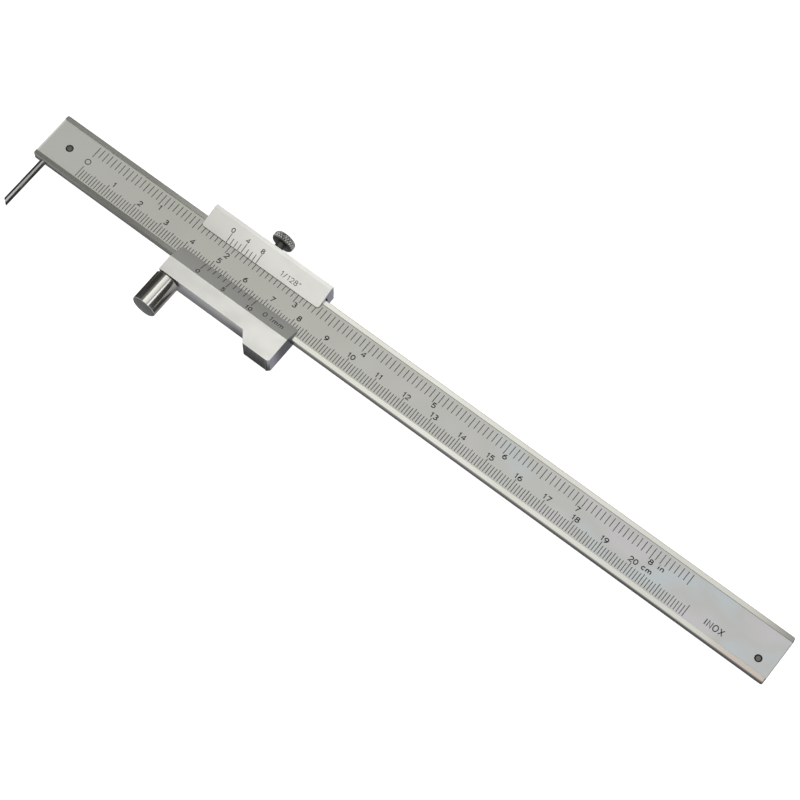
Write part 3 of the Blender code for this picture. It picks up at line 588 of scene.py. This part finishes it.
def lock_finish(centre, radius, head_y):
    """Dark knurled head, its crests worn to bare steel, and painted shade darkening it further on the side by
    the slider.
    """
    finish = Finish("dark_knurled_steel")
    crest = finish.radius(centre).above(radius - 0.20, radius - 0.06)
    blotches = finish.noise(0.9, detail=3.0).above(0.35, 0.65)
    colour = finish.mixed(blotches, (0.22, 0.22, 0.21), (0.60, 0.60, 0.575))
    colour = finish.mixed(crest * (0.40 + blotches * 0.6), colour, (0.86, 0.86, 0.84))
    # Painted shade: the head's near face and the neck are darker on the side by the slider.
    inner = 1 - finish.axis(1).above(head_y, head_y + 0.7)
    colour = finish.mixed(inner * 0.85, colour, (0.09, 0.09, 0.085))
    rough = 0.44 - crest * 0.14 + blotches * 0.08
    finish.bump(blotches, 0.2, 0.01)
    return finish.surface(Base_Color=colour, Metallic=1.0, Roughness=rough)


def turned_finish(name, bright, dark, rough, pitch, along=1):
    """Turned metal with faint turning lines spaced along its axis and a little tarnish."""
    finish = Finish(name)
    stretch = tuple(1.0 if axis == along else 0.06 for axis in range(3))
    lines = finish.noise(1 / pitch, stretch, detail=1.0)
    tarnish = finish.noise(0.9, detail=3.0).above(0.35, 0.75)
    colour = finish.mixed(tarnish * 0.6 + lines * 0.3, bright, dark)
    finish.bump(lines, 0.1, 0.004)
    return finish.surface(Base_Color=colour, Metallic=1.0, Roughness=rough + lines * 0.08 + tarnish * 0.05)


def screw_end_finish(name, centre, radius):
    """A screw seen in the scale floor: a dull grey end inside a dark ring where it meets its hole."""
    finish = Finish(name)
    distance = finish.radius(centre, (0, 1))
    ring = distance.above(radius - 0.5, radius - 0.12)
    grain = finish.noise(4.0, detail=3.0)
    colour = finish.mixed(grain, (0.13, 0.13, 0.125), (0.24, 0.24, 0.235))
    colour = finish.mixed(ring * 0.9, colour, (0.03, 0.03, 0.03))
    finish.bump(grain, 0.3, 0.006)
    return finish.surface(Base_Color=colour, Metallic=1.0, Roughness=0.40 + grain * 0.12)


def ink_finish():
    """Dark filling of the engraved lines, thin in places."""
    finish = Finish("graduation_ink")
    thin = finish.noise(1.3, detail=3.0).above(0.40, 0.72)
    colour = finish.mixed(thin * 0.5, (0.020, 0.020, 0.021), (0.085, 0.085, 0.083))
    grain = finish.noise(12.0, detail=2.0)
    finish.bump(grain, 0.2, 0.004)
    return finish.surface(Base_Color=colour, Metallic=0.0, Roughness=0.55 + grain * 0.15)


# ---------------------------------------------------------------- pieces

def dressed(name, node, body, finish, edge):
    """A CAD solid with its flat faces joined up and its edges broken by a small round."""
    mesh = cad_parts[node].data.copy()
    shell = bmesh.new()
    shell.from_mesh(mesh)
    bmesh.ops.remove_doubles(shell, verts=shell.verts, dist=1e-7)
    bmesh.ops.dissolve_limit(
        shell, angle_limit=math.radians(0.4), verts=shell.verts, edges=shell.edges, delimit={"NORMAL"})
    shell.to_mesh(mesh)
    shell.free()
    made = finished(name, mesh, body, finish, replaces=(node,))
    rounding = made.modifiers.new("edge_break", "BEVEL")
    rounding.width = edge * MM
    rounding.segments = 2
    rounding.limit_method = "ANGLE"
    rounding.angle_limit = math.radians(28)
    rounding.harden_normals = True
    return made


def make_graduations(ink):
    """Beam scales, their figures and the steel's mark."""
    count = METRIC_END
    u = np.arange(count + 1.0)
    lengths = tick_lengths(count, METRIC_TICKS)
    shape = ticks(u, METRIC_FOOT_Y, METRIC_FOOT_Y + lengths, BEAM_FLOOR)
    piece("metric_scale_lines", *shape, "beam", "beam_steel", ink)
    count = int(INCH_END * 16)
    u = np.arange(count + 1) * INCH / 16
    lengths = tick_lengths(count, INCH_TICKS)
    shape = ticks(u, INCH_TOP_Y, INCH_TOP_Y - lengths, BEAM_FLOOR)
    piece("inch_scale_lines", *shape, "beam", "beam_steel", ink)

    figures = []
    for number in range(1, 10):
        u = number * 10 + FIGURE_RIGHT_OF_TICK
        figures += lettering(str(number), u, METRIC_FIGURE_Y, FIGURE_HEIGHT, BEAM_FLOOR)
    for number in range(10, 21):
        u = number * 10 + 0.1
        figures += lettering(str(number), u, METRIC_FIGURE_Y, FIGURE_HEIGHT, BEAM_FLOOR)
    figures += lettering("cm", CENTIMETRE_MARK_X, METRIC_FIGURE_Y + 0.1, FIGURE_HEIGHT, BEAM_FLOOR)
    piece("metric_scale_figures", *joined(figures), "beam", "beam_steel", ink)
    figures = []
    for number in range(1, 9):
        u = number * INCH + FIGURE_RIGHT_OF_TICK
        figures += lettering(str(number), u, INCH_FIGURE_Y, FIGURE_HEIGHT, BEAM_FLOOR)
    figures += lettering("in", INCH_MARK_X, INCH_FIGURE_Y + 0.2, 1.5, BEAM_FLOOR)
    piece("inch_scale_figures", *joined(figures), "beam", "beam_steel", ink)
    zero = [stroke_body(arc(0.0, -0.25, 0.85, 0.85, 90, 450, 33), 0.27, BEAM_FLOOR)]
    piece("zero_figure", *joined(zero), "beam", "beam_steel", ink)
    mark = lettering("INOX", STEEL_MARK_X, STEEL_MARK_Y, 1.85, BEAM_FLOOR, 0.3, 1.15)
    piece("steel_grade_mark", *joined(mark), "beam", "beam_steel", ink)


def make_verniers(ink):
    """Vernier lines and figures on the slider's two bevels."""
    lengths = tick_lengths(10, METRIC_VERNIER_TICKS)
    u = VERNIER_ZERO_X + np.arange(11) * METRIC_VERNIER_STEP
    shape = ticks(u, -0.05, -lengths, METRIC_BEVEL)
    piece("metric_vernier_lines", *shape, "slider", "slider_steel", ink)
    figures = []
    for number in (0, 5, 10):
        u = VERNIER_ZERO_X + number * METRIC_VERNIER_STEP
        figures += lettering(str(number), u, -4.2, 1.3, METRIC_BEVEL, 0.28)
    u = VERNIER_ZERO_X + METRIC_UNIT_FROM_ZERO
    figures += lettering("0.1mm", u, -2.6, 1.6, METRIC_BEVEL, 0.24, 1.2)
    piece("metric_vernier_figures", *joined(figures), "slider", "slider_steel", ink)

    lengths = tick_lengths(8, INCH_VERNIER_TICKS)
    u = VERNIER_ZERO_X + np.arange(9) * INCH_VERNIER_STEP
    shape = ticks(u, 0.05, lengths, INCH_BEVEL)
    piece("inch_vernier_lines", *shape, "slider", "slider_steel", ink)
    figures = []
    for number in (0, 4, 8):
        u = VERNIER_ZERO_X + number * INCH_VERNIER_STEP
        figures += lettering(str(number), u - 0.25, 4.1, 1.3, INCH_BEVEL, 0.27)
    piece("inch_vernier_figures", *joined(figures), "slider", "slider_steel", ink)
    u = VERNIER_ZERO_X + INCH_UNIT_FROM_ZERO
    unit = lettering('1/128"', u, 2.2, 1.45, INCH_BEVEL, 0.2, 1.25)
    piece("inch_vernier_unit", *joined(unit), "slider", "slider_steel", ink)


def make_guide_pin():
    """Round pin with an undercut neck and a spigot, turned about its own axis."""
    low, high = (local(corner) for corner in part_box("guide_pin"))
    centre = (low + high) / 2
    radius = (high[0] - low[0]) / 2
    seat = high[1] - PIN_SPIGOT_LENGTH
    shoulder = seat + SEAT - PIN_NECK_LENGTH
    profile = soften([
        (0.2, high[1]), (PIN_SPIGOT_RADIUS, high[1]), (PIN_SPIGOT_RADIUS, seat), (PIN_NECK_RADIUS, seat),
        (PIN_NECK_RADIUS, shoulder), (radius, shoulder), (radius, low[1] + PIN_CHAMFER),
        (radius - PIN_CHAMFER, low[1]), (0.2, low[1])], 0.1)
    shape = turned(centre[0], centre[2], profile)
    piece("ground_guide_pin", *shape, "slider", "pin_chrome", pin_finish(centre, low[1]),
          replaces=("guide_pin",))


def make_lock_screw():
    """The head's radius loses the knurl: depth times one less the lower of two slanting ridges."""
    low, high = (local(corner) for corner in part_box("lock_screw"))
    centre = (low + high) / 2
    radius = (high[0] - low[0]) / 2
    head_y = high[1] - LOCK_HEAD_THICKNESS
    neck_y = head_y - LOCK_NECK_LENGTH + SEAT
    chamfer = LOCK_HEAD_CHAMFER
    band = np.linspace(head_y + chamfer, high[1] - chamfer, 21)
    knurled = np.stack([np.full(21, radius), band], -1)
    lower = soften([
        (0.15, low[1]), (LOCK_RADIUS, low[1]), (LOCK_RADIUS, neck_y), (LOCK_NECK_RADIUS, neck_y),
        (LOCK_NECK_RADIUS, head_y), (radius - chamfer, head_y), (radius, head_y + chamfer)], 0.08)
    upper = soften([
        (radius, high[1] - chamfer), (radius - chamfer, high[1]), (radius - 1.2, high[1]),
        (radius - 1.4, high[1] - 0.1), (0.15, high[1] - 0.1)], 0.08)

    def knurl(angle, y):
        along = (y - head_y) * KNURL_LEAN
        ridge_a = np.abs(np.sin(KNURL_COUNT / 2 * angle + along))
        ridge_b = np.abs(np.sin(KNURL_COUNT / 2 * angle - along))
        inside = np.clip((y - head_y - chamfer * 0.4) / 0.2, 0, 1) * np.clip(
            (high[1] - chamfer * 0.4 - y) / 0.2, 0, 1)
        return KNURL_DEPTH * (1 - np.minimum(ridge_a, ridge_b)) * inside

    stations = np.vstack([lower[:-1], knurled, upper[1:]])
    finish = lock_finish(centre, radius, head_y)
    shape = turned(centre[0], centre[2], stations, 408, relief=knurl)
    piece("knurled_lock_screw", *shape, "lock_screw", "lock_steel", finish, 40.0, ("lock_screw",))


def make_scriber(steel, carbide):
    """Shank with a bore, and a tip whose end face slants: y rises by TIP_GRIND (1 - cos a) / 2."""
    low, high = (local(corner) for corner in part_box("scriber_shank"))
    centre = (low + high) / 2
    radius = (high[0] - low[0]) / 2
    bore = TIP_SPIGOT_RADIUS + SEAT
    bore_top = low[1] + TIP_SPIGOT_LENGTH
    profile = soften([
        (0.1, bore_top), (bore, bore_top), (bore, low[1]), (radius, low[1]), (radius, high[1] - 0.15),
        (radius - 0.15, high[1]), (0.1, high[1])], 0.04)
    shape = turned(centre[0], centre[2], profile, 64)
    piece("turned_scriber_shank", *shape, "scriber", "scriber_steel", steel, replaces=("scriber_shank",))

    low, high = (local(corner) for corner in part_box("scriber_tip"))
    shoulder = high[1] - TIP_SPIGOT_LENGTH
    profile = soften([
        (0.1, high[1]), (TIP_SPIGOT_RADIUS, high[1]), (TIP_SPIGOT_RADIUS, shoulder), (radius, shoulder),
        (radius, low[1])], 0.04)
    last = len(profile) - 1

    def grind(angle, station):
        return np.where(station == last, TIP_GRIND * (1 - np.cos(angle)) / 2, 0.0)

    shape = turned(centre[0], centre[2], profile, 64, skew=grind)
    piece("ground_scriber_tip", *shape, "scriber", "carbide", carbide, replaces=("scriber_tip",))


def dress_fasteners():
    """Finishes for the CAD pieces whose shapes stay."""
    steel = turned_finish("turned_screw_steel", (0.46, 0.46, 0.45), (0.30, 0.30, 0.29), 0.30, 0.12, 2)
    black = turned_finish("blackened_steel", (0.10, 0.10, 0.10), (0.05, 0.05, 0.05), 0.42, 0.15)
    bronze = turned_finish("spring_bronze", (0.60, 0.40, 0.19), (0.42, 0.27, 0.13), 0.32, 0.30, 2)
    brass = turned_finish("turned_brass", (0.74, 0.57, 0.27), (0.52, 0.38, 0.18), 0.26, 0.12)
    finishes = {f"back_plate_screw_{number}": steel for number in range(1, 5)}
    finishes |= {"gib_set_screw_1": black, "gib_set_screw_2": black, "guide_pin_set_screw": black}
    finishes |= {"gib_strip": bronze, "lock_shoe": brass}
    seen_ends = {"scriber_clamp_screw": SCRIBER_CLAMP_RADIUS, "end_stop_screw": END_STOP_RADIUS}
    for node, radius in seen_ends.items():
        low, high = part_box(node)
        finishes[node] = screw_end_finish(f"{node}_finish", local((low + high) / 2), radius)
    for node, finish in finishes.items():
        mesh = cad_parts[node].data
        mesh.materials.clear()
        mesh.materials.append(finish)


# ---------------------------------------------------------------- studio

def make_floor():
    """A plain white sheet, bright enough of itself that the caliper's shadow stays faint."""
    half = 3.0
    mesh = bpy.data.meshes.new("studio_floor")
    corners = [(-half, -half, -0.0005), (half, -half, -0.0005), (half, half, -0.0005), (-half, half, -0.0005)]
    mesh.from_pydata(corners, [], [[0, 1, 2, 3]])
    finish = Finish("white_sheet")
    finish.surface(Base_Color=(0.8, 0.8, 0.8), Roughness=0.9, Emission_Color=(1.0, 1.0, 1.0),
                   Emission_Strength=0.85)
    mesh.materials.append(finish.material)
    floor = bpy.data.objects.new("studio_floor", mesh)
    bpy.context.scene.collection.objects.link(floor)
    floor.visible_glossy = False


def overhead_strip(name, left, right, radiance, colour):
    """A rectangular lamp overhead, from left to right, of a given brightness."""
    light = bpy.data.lights.new(name, "AREA")
    light.shape = "RECTANGLE"
    light.size = right - left
    light.size_y = SOFTBOX_DEPTH
    light.energy = radiance * math.pi * light.size * SOFTBOX_DEPTH
    light.color = colour
    lamp = bpy.data.objects.new(name, light)
    lamp.location = ((left + right) / 2, SOFTBOX_Y, SOFTBOX_HEIGHT)
    bpy.context.scene.collection.objects.link(lamp)


def make_overhead_light():
    """One long softbox overhead, made of strips that dim from left to right, and a cool narrow window."""
    edges = np.linspace(SOFTBOX_LEFT, SOFTBOX_RIGHT, len(SOFTBOX_RADIANCES) + 1)
    for number, radiance in enumerate(SOFTBOX_RADIANCES):
        overhead_strip(
            f"softbox_strip_{number}", edges[number], edges[number + 1], radiance, (1.0, 0.995, 0.955))
    overhead_strip("window", WINDOW_LEFT, WINDOW_RIGHT, WINDOW_RADIANCE, (0.94, 0.95, 1.0))


def make_surroundings():
    """Room light by direction: pale walls, dimmer behind, a black screen low behind that darkens the
    sides of the turned pieces, and grey overhead and straight down."""
    world = bpy.data.worlds.new("studio_room")
    bpy.context.scene.world = world
    world.use_nodes = True
    room = Finish("studio_room", world.node_tree)
    direction = room.node("ShaderNodeTexCoord", output=0)
    up = room.node("ShaderNodeSeparateXYZ", inputs={0: direction}, output=2)
    behind = room.node("ShaderNodeSeparateXYZ", inputs={0: direction}, output=1)
    walls = room.mixed(behind.above(0.0, 0.6), (0.58, 0.58, 0.57), (0.32, 0.32, 0.305))
    walls = room.mixed(behind.between(0.14, 0.48, 0.06), walls, (0.045, 0.044, 0.040))
    colour = room.mixed(up.above(-0.90, -0.55), (0.33, 0.335, 0.355), walls)
    colour = room.mixed(up.above(0.58, 0.93), colour, (0.28, 0.28, 0.265))
    room.feed(world.node_tree.nodes["Background"].inputs["Color"], colour)


def make_camera():
    """A long lens above the beam's right half, looking down across it."""
    camera = bpy.data.cameras.new("bench_camera")
    camera.sensor_width = 36.0
    camera.lens = 115.08
    camera.clip_start = 0.01
    item = bpy.data.objects.new("bench_camera", camera)
    right = Vector((0.78825, 0.61527, 0.01012)).normalized()
    forward = Vector((-0.22949, 0.30919, -0.92290)).normalized()
    up = right.cross(forward)
    right = forward.cross(up)
    turn = Matrix((right, up, -forward)).transposed().to_4x4()
    item.matrix_world = Matrix.Translation((0.16965, -0.22378, 0.67688)) @ turn
    bpy.context.scene.collection.objects.link(item)
    bpy.context.scene.camera = item


make_camera()
make_floor()
make_overhead_light()
make_surroundings()
bpy.context.scene.view_settings.view_transform = "Standard"

slider_steel = slider_finish()
dressed("graduated_beam", "beam", "beam", beam_finish(), EDGE_BREAK)
dressed("slider_front", "slider_body", "slider", slider_steel, EDGE_BREAK)
dressed("slider_upper_rail", "slider_top_rail", "slider", slider_steel, EDGE_BREAK)
dressed("slider_rear_plate", "slider_back_plate", "slider", slider_steel, EDGE_BREAK)
ink = ink_finish()
make_graduations(ink)
make_verniers(ink)
make_guide_pin()
make_lock_screw()
make_scriber(
    turned_finish("turned_scriber_steel", (0.38, 0.38, 0.37), (0.29, 0.29, 0.28), 0.09, 0.2),
    turned_finish("ground_carbide", (0.48, 0.48, 0.485), (0.38, 0.38, 0.385), 0.11, 0.1))
dress_fasteners()
